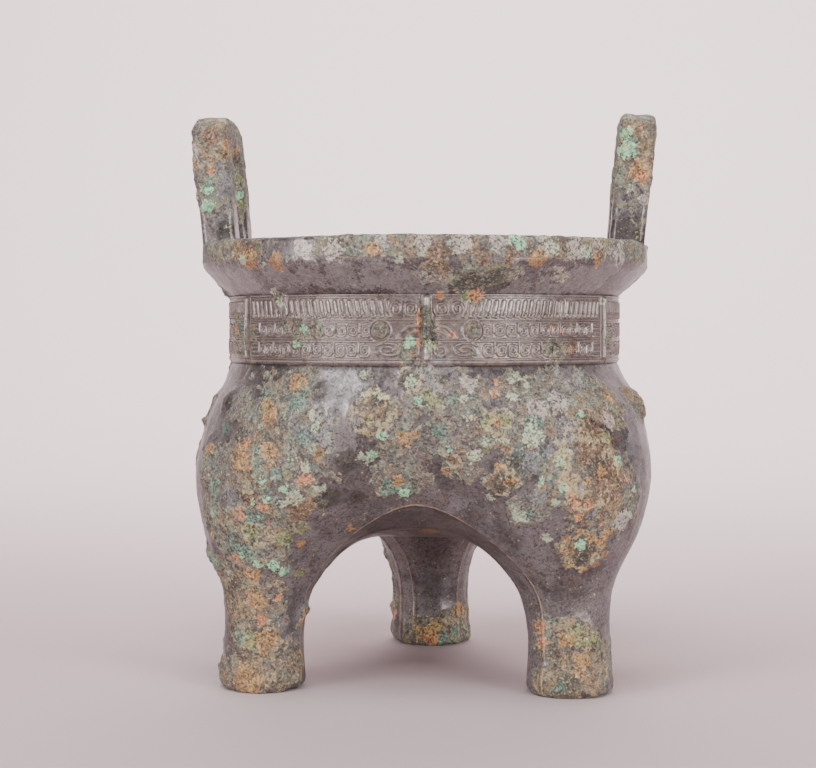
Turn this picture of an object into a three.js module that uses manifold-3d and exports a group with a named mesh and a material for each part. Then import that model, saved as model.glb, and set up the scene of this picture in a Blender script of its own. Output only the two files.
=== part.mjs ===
// A bronze tripod vessel: a round neck over a belly of three lobes, each lobe drawn out into a leg,
// with two upright loop handles on the rim. It is one casting, hollow down into the tops of the legs.
import * as THREE from "three";
import { mergeVertices } from "three/addons/utils/BufferGeometryUtils.js";
import Module from "manifold-3d";

// Driving dimensions, in millimetres and degrees
const wall = 4;
const shoulderHeight = 114.5; // floor to the lower edge of the neck band
const neckRadius = 69.8;
const bandHeight = 22;
const bandRelief = 0.7;
const bandTurn = 4.5; // the band sits a little round from the legs
const rimRadius = 80;
const lipHeight = 8.5;
const lipTopWidth = 4;
const lipEdgeRadius = 0.8;
const throatDepth = 5; // the rim's top falls this far towards the mouth
const legCircleRadius = 61.5; // vessel axis to the middle of a foot
const footFlareWidth = 1;
const footEdgeRadius = 2;
const bowlBottomHeight = 50.4; // floor to the lowest point of the belly between the legs
const bowlRadius = 60;
const legHollowHeight = 45; // the hollow of a lobe ends here, in the top of its leg
const handleHeight = 45.4;
const handleWidth = 38;
const handleThickness = 12;
const handleFaceRadius = 78.2; // vessel axis to the outer face of a handle, at the rim
const handlePostWidth = 11;
const handleLean = 5.6;
const handleChamferWidth = 1.4;
const handleRootDepth = 5; // how far a handle is sunk into the rim
const flangeWidth = 2.8;
const flangeDepth = 1.6;
const eyeRadius = 2.8;
const eyeDepth = 1.5;
const eyeOffset = 12.4; // degrees from a mask's nose to each of its eyes
const eyeLevel = 0.46; // height of the eyes, as a share of the band

// How finely the form is divided
const sectorColumns = 18;
const valleySteps = 9;
const lobeRows = 10;
const relaxPasses = 40;
const projectSteps = 2;

// The three legs. No two were cast quite alike: each has its own ankle, a small step to one side,
// and a swell of its lobe over the lobe of the stations below.
const legs = [
  { azimuth: 90, ankleRadius: 14.7, sideStep: -2, lobeSwell: 0 },
  { azimuth: 210, ankleRadius: 13.8, sideStep: -1.4, lobeSwell: -0.2 },
  { azimuth: 330, ankleRadius: 14.2, sideStep: -0.9, lobeSwell: 1.1 },
];

const legCount = legs.length;
const bandTop = shoulderHeight + bandHeight;
const lipBottom = bandTop + (rimRadius - neckRadius);
const rimTop = lipBottom + lipHeight;
const throatRadius = neckRadius - wall;
const bowlCentre = 0.83 * shoulderHeight;
const bowlPower = 2.4;
const blend = 0.1; // how softly the lobes run together, as a share of their distance from the axis
const hollowFloorRadius = 2; // how softly the hollow turns to its floor

// A lobe and its leg are a stack of circles. For each height, as a share of the shoulder's:
// how far the circle's middle is out on the way to the foot, and how far its radius has grown
// from the ankle's to the neck's.
const stations = [
  { height: 0, reach: 1, growth: 0 },
  { height: 0.175, reach: 0.995, growth: 0 },
  { height: 0.297, reach: 0.972, growth: 0.034 },
  { height: 0.389, reach: 0.935, growth: 0.127 },
  { height: 0.489, reach: 0.87, growth: 0.268 },
  { height: 0.591, reach: 0.74, growth: 0.452 },
  { height: 0.638, reach: 0.668, growth: 0.536 },
  { height: 0.699, reach: 0.569, growth: 0.628 },
  { height: 0.786, reach: 0.407, growth: 0.753 },
  { height: 0.873, reach: 0.228, growth: 0.88 },
  { height: 0.961, reach: 0.04, growth: 0.974 },
  { height: 1, reach: 0, growth: 1 },
];
const stationCurve = new THREE.CubicInterpolant(
  stations.map((s) => s.height),
  stations.flatMap((s) => [s.reach, s.growth]),
  2,
);

const polar = (radius, azimuth, z) => {
  const angle = THREE.MathUtils.degToRad(azimuth);
  return new THREE.Vector3(radius * Math.cos(angle), radius * Math.sin(angle), z);
};

// The middle and radius of one leg's circle at a height
function legSection({ azimuth, ankleRadius, sideStep, lobeSwell }, z) {
  const share = THREE.MathUtils.clamp(z / shoulderHeight, 0, 1);
  const [reach, growth] = stationCurve.evaluate(share);
  const { smoothstep } = THREE.MathUtils;
  const flare = footFlareWidth * (1 - smoothstep(share, 0, stations[1].height));
  const swell = lobeSwell * smoothstep(share, 0.33, 0.5) * (1 - smoothstep(share, 0.86, 1));
  const middle = polar(legCircleRadius * reach + swell, azimuth, z);
  middle.x += sideStep * reach;
  return { middle, reach, radius: ankleRadius + (neckRadius - ankleRadius) * growth + flare + swell };
}

// The form as a field that is negative inside: three lobes and a round bowl, run softly together
function lobedField(point) {
  const sections = legs.map((leg) => legSection(leg, point.z));
  const distances = sections.map(
    ({ middle, radius }) => Math.hypot(point.x - middle.x, point.y - middle.y) - radius,
  );
  const depth = Math.max(bowlCentre - point.z, 0) / (bowlCentre - bowlBottomHeight);
  const out = Math.hypot(point.x, point.y) / bowlRadius;
  const bowl = (out ** bowlPower + depth ** bowlPower) ** (1 / bowlPower) - 1;
  distances.push(bowl * (bowlCentre - bowlBottomHeight));
  const softness = Math.max(blend * legCircleRadius * sections[0].reach, 0.01);
  const nearest = Math.min(...distances);
  const sum = distances.reduce((total, d) => total + Math.exp((nearest - d) / softness), 0);
  return nearest - softness * Math.log(sum);
}

function gradient(field, point) {
  const step = 0.05;
  const slope = (axis) => {
    const ahead = point.clone();
    const behind = point.clone();
    ahead[axis] += step;
    behind[axis] -= step;
    return (field(ahead) - field(behind)) / (2 * step);
  };
  return new THREE.Vector3(slope("x"), slope("y"), slope("z"));
}

// Where a ray from inside the form leaves it
function alongRay(origin, direction) {
  let inside = 0;
  let outside = 2 * rimRadius;
  for (let i = 0; i < 24; i++) {
    const reach = (inside + outside) / 2;
    if (lobedField(origin.clone().addScaledVector(direction, reach)) < 0) inside = reach;
    else outside = reach;
  }
  return origin.clone().addScaledVector(direction, inside);
}

function project(point) {
  for (let i = 0; i < projectSteps; i++) {
    const slope = gradient(lobedField, point);
    point.addScaledVector(slope, -lobedField(point) / Math.max(slope.lengthSq(), 0.05));
  }
  return point;
}

// The point of the hollow one wall inside a point of the skin, and no lower than the hollow's floor
function hollowed(point) {
  const inner = point
    .clone()
    .addScaledVector(gradient(lobedField, point).normalize(), -wall);
  const height = (inner.z - legHollowHeight) / hollowFloorRadius;
  const softened = Math.log1p(Math.exp(-Math.abs(height))) + Math.max(height, 0);
  inner.z = legHollowHeight + hollowFloorRadius * softened;
  return inner;
}

// Rows of points are stitched into one closed surface
class Surface {
  positions = [];
  triangle(a, b, c) {
    this.positions.push(...a.toArray(), ...b.toArray(), ...c.toArray());
  }
  rows(rows) {
    for (let i = 0; i + 1 < rows.length; i++) {
      for (let j = 0; j + 1 < rows[i].length; j++) this.quad(rows[i], rows[i + 1], j);
    }
  }
  // Split along the shorter diagonal
  quad(upper, lower, j) {
    const [a, b, c, d] = [upper[j], lower[j], lower[j + 1], upper[j + 1]];
    if (a.distanceTo(c) < b.distanceTo(d)) {
      this.triangle(a, b, c);
      this.triangle(a, c, d);
    } else {
      this.triangle(a, b, d);
      this.triangle(d, b, c);
    }
  }
  fan(row, tip) {
    for (let j = 0; j + 1 < row.length; j++) this.triangle(row[j], tip, row[j + 1]);
  }
  geometry() {
    const array = new THREE.Float32BufferAttribute(this.positions, 3);
    return new THREE.BufferGeometry().setAttribute("position", array);
  }
}

const bellyOrigin = new THREE.Vector3(0, 0, bowlCentre);
const ringAzimuths = (from, to) =>
  Array.from({ length: sectorColumns + 1 }, (_, i) =>
    THREE.MathUtils.lerp(from, to, i / sectorColumns),
  );

// One lobe's boundary: up the valley on one side, round the shoulder, down the other valley
function lobeLoop(leg) {
  const [before, after] = [leg.azimuth - 180 / legCount, leg.azimuth + 180 / legCount];
  const onValley = (azimuth, step) => {
    const dip = ((step / valleySteps) * Math.PI) / 2;
    return alongRay(bellyOrigin, polar(Math.cos(dip), azimuth, -Math.sin(dip)));
  };
  const steps = Array.from({ length: valleySteps }, (_, i) => i);
  return [
    ...steps.map((i) => onValley(before, valleySteps - i)),
    ...ringAzimuths(before, after).map((azimuth) => alongRay(bellyOrigin, polar(1, azimuth, 0))),
    ...steps.map((i) => onValley(after, i + 1)),
  ];
}

// A net of points between a lobe's boundary and a ring round its ankle, evened out on the skin
function lobeNet(loop, ring) {
  const rows = Array.from({ length: lobeRows + 1 }, (_, i) =>
    loop.map((point, j) => point.clone().lerp(ring[j], i / lobeRows)),
  );
  const last = loop.length - 1;
  for (let pass = 0; pass < relaxPasses; pass++) {
    for (let i = 1; i < lobeRows; i++) {
      for (let j = 0; j < last; j++) {
        const average = new THREE.Vector3()
          .add(rows[i - 1][j])
          .add(rows[i + 1][j])
          .add(rows[i][(j + last - 1) % last])
          .add(rows[i][(j + 1) % last])
          .multiplyScalar(0.25);
        rows[i][j].copy(project(average));
      }
      rows[i][last].copy(rows[i][0]);
    }
  }
  return rows;
}

function legRing(leg, z, count, inset = 0) {
  const { middle, radius } = legSection(leg, z);
  return Array.from({ length: count }, (_, j) =>
    polar(radius - inset, leg.azimuth - 180 + (360 * j) / (count - 1), 0).add(middle),
  );
}

const ankleTop = stations[2].height * shoulderHeight;
const nets = legs.map((leg) => {
  const loop = lobeLoop(leg);
  return { leg, count: loop.length, net: lobeNet(loop, legRing(leg, ankleTop, loop.length)) };
});

// Full turns round the vessel's axis: rings on the lobed form, and plain round ones
const turnAzimuths = legs.flatMap(({ azimuth }, index) => {
  const start = azimuth - 180 / legCount;
  return ringAzimuths(start, start + 360 / legCount).slice(index ? 1 : 0);
});
const roundRing = ({ r, z }) => turnAzimuths.map((azimuth) => polar(r, azimuth, z));
const lobedRings = [0, 0.3, 0.6, 0.85].map((share) => {
  const origin = bellyOrigin.clone().setZ(THREE.MathUtils.lerp(bowlCentre, shoulderHeight, share));
  return turnAzimuths.map((azimuth) => alongRay(origin, polar(1, azimuth, 0)));
});

function outerForm() {
  const surface = new Surface();
  const profile = [
    { r: neckRadius, z: shoulderHeight },
    { r: neckRadius + bandRelief, z: shoulderHeight + bandRelief / 2 },
    { r: neckRadius + bandRelief / 2, z: bandTop - bandRelief / 2 },
    { r: neckRadius, z: bandTop },
    { r: rimRadius - lipEdgeRadius, z: lipBottom - lipEdgeRadius },
    { r: rimRadius, z: lipBottom + lipEdgeRadius / 2 },
    { r: rimRadius, z: rimTop - lipEdgeRadius },
    { r: rimRadius - lipEdgeRadius, z: rimTop },
  ];
  const rows = [...lobedRings, ...profile.map(roundRing)].reverse();
  surface.rows(rows);
  surface.fan([...rows[0]].reverse(), new THREE.Vector3(0, 0, rimTop));
  for (const { leg, count, net } of nets) {
    surface.rows(net);
    const heights = [1, 0.78, 0.56, 0.34].map((share) => share * ankleTop);
    const sole = legRing(leg, 0, count, footEdgeRadius);
    surface.rows([
      ...heights.map((z) => legRing(leg, z, count)),
      legRing(leg, footEdgeRadius, count),
      legRing(leg, 0.25 * footEdgeRadius, count, 0.35 * footEdgeRadius),
      sole,
    ]);
    surface.fan(sole, legSection(leg, 0).middle);
  }
  return surface.geometry();
}

function hollowForm() {
  const surface = new Surface();
  const fall = throatDepth / (rimRadius - lipTopWidth - throatRadius);
  const above = wall; // the cutter stands clear of the rim
  const profile = [
    { r: throatRadius, z: shoulderHeight },
    { r: throatRadius, z: rimTop - throatDepth - above },
    { r: throatRadius + lipEdgeRadius, z: rimTop - throatDepth },
    { r: rimRadius - lipTopWidth, z: rimTop },
    { r: rimRadius - lipTopWidth + above / fall, z: rimTop + above },
  ];
  const lobed = lobedRings.slice(0, -1).map((ring) => ring.map(hollowed));
  const rows = [...lobed, ...profile.map(roundRing)].reverse();
  surface.rows(rows);
  surface.fan([...rows[0]].reverse(), new THREE.Vector3(0, 0, rimTop + above));
  for (const { leg, net } of nets) {
    const rows = net.map((row) => row.map(hollowed));
    const lowest = rows[rows.length - 1];
    surface.rows(rows);
    surface.fan(lowest, legSection(leg, ankleTop).middle.setZ(lowest[0].z));
  }
  return surface.geometry();
}

// A handle is an arch, open below, with a flattened top and chamfered edges
function handleForm() {
  const half = handleWidth / 2;
  const gap = half - handlePostWidth;
  const archWidth = 0.7 * half;
  const archRise = 0.16 * handleHeight;
  const crown = handleHeight - handlePostWidth - gap;
  const arch = new THREE.Shape()
    .moveTo(-half, -handleRootDepth)
    .lineTo(-gap, -handleRootDepth)
    .lineTo(-gap, crown)
    .absarc(0, crown, gap, Math.PI, 0, true)
    .lineTo(gap, -handleRootDepth)
    .lineTo(half, -handleRootDepth)
    .lineTo(half, handleHeight - archRise)
    .absellipse(half - archWidth, handleHeight - archRise, archWidth, archRise, 0, Math.PI / 2)
    .absellipse(
      archWidth - half,
      handleHeight - archRise,
      archWidth,
      archRise,
      Math.PI / 2,
      Math.PI,
    );
  const geometry = new THREE.ExtrudeGeometry(arch, {
    depth: handleThickness - 2 * handleChamferWidth,
    bevelThickness: handleChamferWidth,
    bevelSize: handleChamferWidth,
    bevelOffset: -handleChamferWidth,
    bevelSegments: 1,
    curveSegments: 7,
  });
  geometry.translate(0, 0, handleChamferWidth - handleThickness);
  geometry.rotateX(THREE.MathUtils.degToRad(handleLean));
  geometry.applyMatrix4(
    new THREE.Matrix4().makeBasis(
      new THREE.Vector3(0, 1, 0),
      new THREE.Vector3(0, 0, 1),
      new THREE.Vector3(1, 0, 0),
    ),
  );
  return geometry.translate(handleFaceRadius, 0, rimTop);
}

// A low upright ridge on the band, and the round eye of a mask, both at azimuth 0
function flangeForm() {
  const depth = flangeDepth + bandRelief + wall / 2;
  const geometry = new THREE.BoxGeometry(depth, flangeWidth, bandHeight);
  const outerFace = neckRadius + bandRelief + flangeDepth;
  return geometry.translate(outerFace - depth / 2, 0, shoulderHeight + bandHeight / 2);
}

function eyeForm() {
  const geometry = new THREE.SphereGeometry(eyeRadius, 10, 6);
  geometry.scale((eyeDepth + bandRelief) / eyeRadius, 1, 1);
  return geometry.translate(neckRadius, 0, shoulderHeight + eyeLevel * bandHeight);
}

const wasm = await Module();
wasm.setup();

function solid(geometry, azimuth = 0) {
  const placed = geometry.index ? geometry.toNonIndexed() : geometry.clone();
  placed.deleteAttribute("normal");
  placed.deleteAttribute("uv");
  placed.rotateZ(THREE.MathUtils.degToRad(azimuth));
  const merged = mergeVertices(placed, 1e-3);
  const made = new wasm.Manifold(
    new wasm.Mesh({
      numProp: 3,
      vertProperties: merged.attributes.position.array,
      triVerts: new Uint32Array(merged.index.array),
    }),
  );
  return made;
}

const trims = [solid(handleForm()), solid(handleForm(), 180)];
for (let i = 0; i < 2 * legCount; i++) {
  trims.push(solid(flangeForm(), legs[0].azimuth + bandTurn + (i * 180) / legCount));
}
for (const { azimuth } of legs) {
  const nose = azimuth + 180 / legCount + bandTurn;
  trims.push(solid(eyeForm(), nose - eyeOffset), solid(eyeForm(), nose + eyeOffset));
}
const vessel = wasm.Manifold.union([solid(outerForm()).subtract(solid(hollowForm())), ...trims]);

const cast = vessel.getMesh();
const geometry = new THREE.BufferGeometry()
  .setAttribute("position", new THREE.BufferAttribute(cast.vertProperties, 3))
  .setIndex(new THREE.BufferAttribute(cast.triVerts, 1));
geometry.computeVertexNormals();
const bronze = new THREE.MeshStandardMaterial({ color: 0x6a6258, roughness: 0.5, metalness: 0.7 });
const ding = new THREE.Mesh(geometry, bronze);
ding.name = "ding_vessel";

// The origin is on the floor, under the middle of the whole vessel's box
const middle = new THREE.Box3().setFromObject(ding).getCenter(new THREE.Vector3());
ding.position.set(-middle.x, -middle.y, 0);

const root = new THREE.Group();
root.add(ding);
export default root;
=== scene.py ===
import math

import bmesh
import bpy
import numpy
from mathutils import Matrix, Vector


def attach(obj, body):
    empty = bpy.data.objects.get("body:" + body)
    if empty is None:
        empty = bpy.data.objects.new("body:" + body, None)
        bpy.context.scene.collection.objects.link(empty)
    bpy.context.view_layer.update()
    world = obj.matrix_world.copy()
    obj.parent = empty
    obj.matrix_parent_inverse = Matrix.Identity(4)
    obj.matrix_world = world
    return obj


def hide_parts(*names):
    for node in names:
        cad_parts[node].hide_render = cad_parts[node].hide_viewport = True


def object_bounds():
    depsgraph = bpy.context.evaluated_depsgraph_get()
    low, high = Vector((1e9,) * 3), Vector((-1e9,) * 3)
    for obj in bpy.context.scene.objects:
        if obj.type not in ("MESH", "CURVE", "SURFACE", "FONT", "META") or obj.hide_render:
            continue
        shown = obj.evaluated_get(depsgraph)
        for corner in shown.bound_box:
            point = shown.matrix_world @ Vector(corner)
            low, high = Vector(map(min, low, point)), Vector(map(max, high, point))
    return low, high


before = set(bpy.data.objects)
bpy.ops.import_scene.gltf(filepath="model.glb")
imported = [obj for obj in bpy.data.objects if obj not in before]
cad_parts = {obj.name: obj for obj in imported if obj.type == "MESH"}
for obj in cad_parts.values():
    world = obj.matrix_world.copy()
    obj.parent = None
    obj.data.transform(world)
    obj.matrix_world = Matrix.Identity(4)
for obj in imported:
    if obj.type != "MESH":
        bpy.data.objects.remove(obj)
cad_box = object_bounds()

# Camera
# It stands a little to the right of the front and just below the rim, as the photograph's did.
PHOTO_WIDTH = 816
PHOTO_HEIGHT = 768
FOCAL_PIXELS = 1700
AXIS_COLUMN = 424.7  # where the vessel's axis stands in the photograph
HORIZON_ROW = 325
EYE_HEIGHT = 0.1266
EYE_DISTANCE = 0.620
EYE_AZIMUTH = math.radians(4)
RIM_RADIUS = 0.080
AXIS_Y = cad_box[0][1] + RIM_RADIUS

camera_data = bpy.data.cameras.new("camera")
camera_data.sensor_width = 36
camera_data.lens = FOCAL_PIXELS / PHOTO_WIDTH * camera_data.sensor_width
camera = bpy.data.objects.new("camera", camera_data)
bpy.context.scene.collection.objects.link(camera)
camera.location = (
    EYE_DISTANCE * math.sin(EYE_AZIMUTH),
    AXIS_Y - EYE_DISTANCE * math.cos(EYE_AZIMUTH),
    EYE_HEIGHT,
)
camera.rotation_euler = (
    math.pi / 2 - math.atan((PHOTO_HEIGHT / 2 - HORIZON_ROW) / FOCAL_PIXELS),
    0,
    EYE_AZIMUTH + math.atan((AXIS_COLUMN - PHOTO_WIDTH / 2) / FOCAL_PIXELS),
)
bpy.context.scene.camera = camera
bpy.context.view_layer.update()


# Belly and legs
# Three lobes and their legs, cast in one with the rest. The form is the solid's, cut off under the
# neck band, with the mould's seams under the arches and down the legs.
MM = 0.001
SHOULDER = 0.1145
LEG_CIRCLE = 0.0615
BODY_VOXEL = 1.22 * MM
ARCH_SEAM = (0.0355, 0.0540)  # how far out a seam runs on the legs, and under the middle of an arch
FLOOR_SEAM = (0.0298, 0.0380)
SEAM_SHIFT = 8 * MM  # the seams' highest points stand to the right of the arches' middles
SEAM_HEIGHT = 0.5 * MM
SEAM_WIDTH = 0.7 * MM
SEAMS_END = (0.070, 0.074)  # the heights over which the seams die out on the belly
CREASE_HEIGHT = 1.6 * MM
CREASE_WIDTH = 5 * MM
HOLLOW_FLOOR = 0.044  # just under the lowest point of the inside
FAR_FROM_SEAM = 99
SEAM_BASE = 100  # added to distances from a seam, as pieces that keep none read as 0, far below it


def as_object(name, bm):
    mesh = bpy.data.meshes.new(name)
    bm.to_mesh(mesh)
    bm.free()
    piece = bpy.data.objects.new(name, mesh)
    bpy.context.scene.collection.objects.link(piece)
    return piece


def merged_copy(name, node, cuts):
    """A copy of the solid's mesh with its loose triangles merged, cut back by planes and closed."""
    bm = bmesh.new()
    bm.from_mesh(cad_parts[node].data)
    bmesh.ops.remove_doubles(bm, verts=bm.verts, dist=0.01 * MM)
    for point, outward in cuts:
        geometry = bm.verts[:] + bm.edges[:] + bm.faces[:]
        bmesh.ops.bisect_plane(
            bm, geom=geometry, dist=0, plane_co=point, plane_no=outward, clear_outer=True
        )
        open_edges = [edge for edge in bm.edges if edge.is_boundary]
        bmesh.ops.triangle_fill(bm, use_beauty=True, edges=open_edges)
    return as_object(name, bm)


def with_modifier(piece, kind, **settings):
    """Run one modifier and keep its result as the piece's mesh."""
    modifier = piece.modifiers.new(kind.lower(), kind)
    for key, value in settings.items():
        setattr(modifier, key, value)
    depsgraph = bpy.context.evaluated_depsgraph_get()
    result = bpy.data.meshes.new_from_object(piece.evaluated_get(depsgraph))
    piece.modifiers.clear()
    piece.data = result
    return piece


def read_vectors(piece, field):
    values = numpy.empty(3 * len(piece.data.vertices))
    piece.data.vertices.foreach_get(field, values)
    return values.reshape(-1, 3)


def move_corners(piece, points):
    """Move a piece's corners, none of them past the CAD's box."""
    low, high = numpy.array(cad_box[0]), numpy.array(cad_box[1])
    piece.data.vertices.foreach_set("co", numpy.clip(points, low, high).ravel())
    piece.data.update()


def save_values(piece, name, values):
    attribute = piece.data.attributes.new(name, "FLOAT", "POINT")
    attribute.data.foreach_set("value", values.astype(numpy.float32))


def smooth_step(value, low, high):
    share = numpy.clip((value - low) / (high - low), 0, 1)
    return share * share * (3 - 2 * share)


def grain(points, size, seed, octaves=3):
    """Soft noise from 0 to 1 whose lumps are about size across."""
    total = numpy.zeros(len(points))
    weight = 0
    for octave in range(octaves):
        place = points / (size / 2**octave) + 17.3 * seed + 5.1 * octave
        cell = numpy.floor(place)
        share = smooth_step(place - cell, 0, 1)
        value = numpy.zeros(len(points))
        for corner in numpy.ndindex(2, 2, 2):
            mixed = (cell + corner) @ numpy.array([127.1, 311.7, 74.7])
            scrambled = numpy.abs(numpy.sin(mixed) * 43758.5453) % 1
            near = numpy.where(numpy.array(corner), share, 1 - share).prod(axis=1)
            value += scrambled * near
        total += value / 2**octave
        weight += 1 / 2**octave
    return total / weight


def around_axis(points):
    """Azimuth from the vessel's front in radians, and distance from its axis."""
    x, y = points[:, 0], points[:, 1] - AXIS_Y
    return numpy.arctan2(x, -y), numpy.hypot(x, y)


def seam_distance(points, at_legs, at_arches):
    """How far points lie outside a three-cornered line that a seam follows, seen from below."""
    nearest = numpy.full(len(points), -1.0)
    for arch in range(3):
        azimuth = arch * 2 * math.pi / 3
        outward = points[:, 0] * math.sin(azimuth) - (points[:, 1] - AXIS_Y) * math.cos(azimuth)
        across = points[:, 0] * math.cos(azimuth) + (points[:, 1] - AXIS_Y) * math.sin(azimuth)
        share = numpy.clip((across - SEAM_SHIFT) / (0.8 * LEG_CIRCLE), -1, 1)
        line = at_legs + (at_arches - at_legs) * (1 - share**2) ** 1.3
        nearest = numpy.maximum(nearest, outward - line)
    return nearest


body = merged_copy("belly_and_legs", "ding_vessel", [((0, 0, SHOULDER - 0.2 * MM), (0, 0, 1))])
body = with_modifier(body, "REMESH", mode="VOXEL", voxel_size=BODY_VOXEL)
body = with_modifier(body, "SMOOTH", factor=0.5, iterations=14)
points = read_vectors(body, "co")
outward = read_vectors(body, "normal")
underneath = 1 - smooth_step(points[:, 2], *SEAMS_END)
outer_side = smooth_step(-outward[:, 2], -0.95, -0.6) + smooth_step(0.052 - points[:, 2], 0, 0.002)
seam = seam_distance(points, *ARCH_SEAM)
floor_seam = seam_distance(points, *FLOOR_SEAM)
crease = numpy.exp(-((seam / CREASE_WIDTH) ** 2)) * smooth_step(points[:, 2], 0.035, 0.060)
ridge = numpy.exp(-((seam / SEAM_WIDTH) ** 2)) + 0.8 * numpy.exp(-((floor_seam / SEAM_WIDTH) ** 2))
inside = (points[:, 2] > HOLLOW_FLOOR) & (outward[:, 2] > -0.02)
lift = underneath * numpy.clip(outer_side, 0, 1) * (CREASE_HEIGHT * crease + SEAM_HEIGHT * ridge)
lift[inside] = 0
move_corners(body, points + outward * lift[:, None])
seams_show = (underneath > 0.5) & ~inside
for name, distance in (("arch_seam", seam), ("floor_seam", floor_seam)):
    save_values(body, name, numpy.where(seams_show, distance / MM, FAR_FROM_SEAM) + SEAM_BASE)

# Rim and neck
# The neck and the thick lip are round, part of the same casting. They carry the band and the handles.
NECK_RADIUS = 0.0698
THROAT_RADIUS = 0.0658
BAND_TOP = 0.1365
LIP_BOTTOM = 0.1467
RIM_TOP = 0.1552
RIM_STEPS = 620
RIM_SPACING = 0.8 * MM
rim_profile = [
    (THROAT_RADIUS, RIM_TOP - 6.5 * MM),
    (THROAT_RADIUS + 0.7 * MM, RIM_TOP - 5 * MM),
    (RIM_RADIUS - 4 * MM, RIM_TOP),
    (RIM_RADIUS - 0.8 * MM, RIM_TOP),
    (RIM_RADIUS, RIM_TOP - 0.8 * MM),
    (RIM_RADIUS, LIP_BOTTOM + 0.4 * MM),
    (RIM_RADIUS - 0.8 * MM, LIP_BOTTOM - 0.8 * MM),
    (NECK_RADIUS, BAND_TOP),
    (NECK_RADIUS - 1 * MM, BAND_TOP - 0.5 * MM),
    (NECK_RADIUS - 1 * MM, SHOULDER - 1 * MM),
    (THROAT_RADIUS, SHOULDER - 1 * MM),
]


def turned(name, profile, steps, spacing, fine_edges, start=-math.pi, end=math.pi):
    """A closed form about the vessel's axis: a net of squares wrapped round the profile.

    Only the profile's first fine_edges edges are cut up at the spacing.
    """
    section = []
    for index, (first, last) in enumerate(zip(profile, profile[1:] + profile[:1])):
        cuts = max(round(math.dist(first, last) / spacing), 1) if index < fine_edges else 1
        for cut in range(cuts):
            section.append([a + (b - a) * cut / cuts for a, b in zip(first, last)])
    bm = bmesh.new()
    bmesh.ops.create_grid(bm, x_segments=steps, y_segments=len(section), size=1)
    for vertex in bm.verts:
        azimuth = start + (vertex.co.x + 1) / 2 * (end - start)
        radius, height = section[round((vertex.co.y + 1) / 2 * len(section)) % len(section)]
        vertex.co = (radius * math.sin(azimuth), AXIS_Y - radius * math.cos(azimuth), height)
    bmesh.ops.remove_doubles(bm, verts=bm.verts, dist=0.001 * MM)
    bmesh.ops.holes_fill(bm, edges=[edge for edge in bm.edges if edge.is_boundary], sides=0)
    bmesh.ops.recalc_face_normals(bm, faces=bm.faces)
    return as_object(name, bm)


rim = turned("rim_and_neck", rim_profile, RIM_STEPS, RIM_SPACING, fine_edges=7)

# Handles
# Two upright loops of square bronze stand on the rim and lean outwards. They were cast with it.
HANDLE_ROOT = 0.0655  # how far from the axis their roots begin
HANDLE_SINK = 8 * MM
HANDLE_HALF_SPAN = 20 * MM
THROAT_SLOPE = (0.41, -0.91)  # the outward and upward parts of a direction square to the throat
HANDLE_VOXEL = 0.6 * MM

handles = []
for side, name in ((-1, "handle_left"), (1, "handle_right")):
    handle = merged_copy(name, "ding_vessel", [
        (
            (side * HANDLE_ROOT, 0, RIM_TOP - HANDLE_SINK),
            (side * THROAT_SLOPE[0], 0, THROAT_SLOPE[1]),
        ),
        ((side * HANDLE_ROOT, 0, 0), (-side, 0, 0)),
        ((0, AXIS_Y + HANDLE_HALF_SPAN, 0), (0, 1, 0)),
        ((0, AXIS_Y - HANDLE_HALF_SPAN, 0), (0, -1, 0)),
    ])
    handle = with_modifier(handle, "REMESH", mode="VOXEL", voxel_size=HANDLE_VOXEL)
    handle = with_modifier(handle, "SMOOTH", factor=0.5, iterations=2)
    handles.append(handle)

# Neck band
# A ring of cast relief: a row of slanted quills over two rows of squared spirals, parted by fine
# lines. Low flanges divide it, and three masks with round eyes face out between the legs. Each of the
# three moulds of the casting gave a third of it.
BAND_TURN = math.radians(4.5)
BAND_FACE = 0.0704
BAND_HEIGHT = BAND_TOP - SHOULDER
HALF_MASK = BAND_FACE * math.pi / 3
LINE = 0.58 * MM
LINE_RELIEF = 0.5 * MM
FLANGE_WIDTH = 2.6 * MM
FLANGE_PROUD = 1.3 * MM
EYE_RADIUS = 2.5 * MM
EYE_RELIEF = 1.4 * MM
EYE_ANGLE = math.radians(12.4)
EYE_PLACE = (EYE_ANGLE * BAND_FACE, 10.2 * MM)
ROW_EDGES = [0.5 * MM, 7.1 * MM, 13.4 * MM, BAND_HEIGHT - 0.5 * MM]
ROW_LINE_OFFSET = 0.4 * MM
ROW_MARGIN = 1.2 * MM
QUILLS_START = 11.5 * MM
QUILLS_MARGIN = 5 * MM
QUILL_PITCH = 2.6 * MM
COILS_START = (20.5 * MM, 20 * MM)  # in the lower row and in the middle one
COILS_MARGIN = 9 * MM
COIL_WIDTH = 3.7 * MM
COIL_TURNS = 2.1
COIL_PITCHES = (4.1 * MM, 4.6 * MM)  # the second after a coil with a stem beside it
STEM_OFFSET = 2.3 * MM
STEPS_PER_TURN = 24
BAND_STEP = 0.22 * MM
DRAWN_STEP = 0.08 * MM

band_profile = [
    (BAND_FACE, SHOULDER),
    (BAND_FACE, BAND_TOP + 0.2 * MM),
    (NECK_RADIUS - 0.6 * MM, BAND_TOP + 0.2 * MM),
    (NECK_RADIUS - 0.6 * MM, SHOULDER - 1.4 * MM),
    (NECK_RADIUS - 0.1 * MM, SHOULDER - 1.4 * MM),
]

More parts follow.
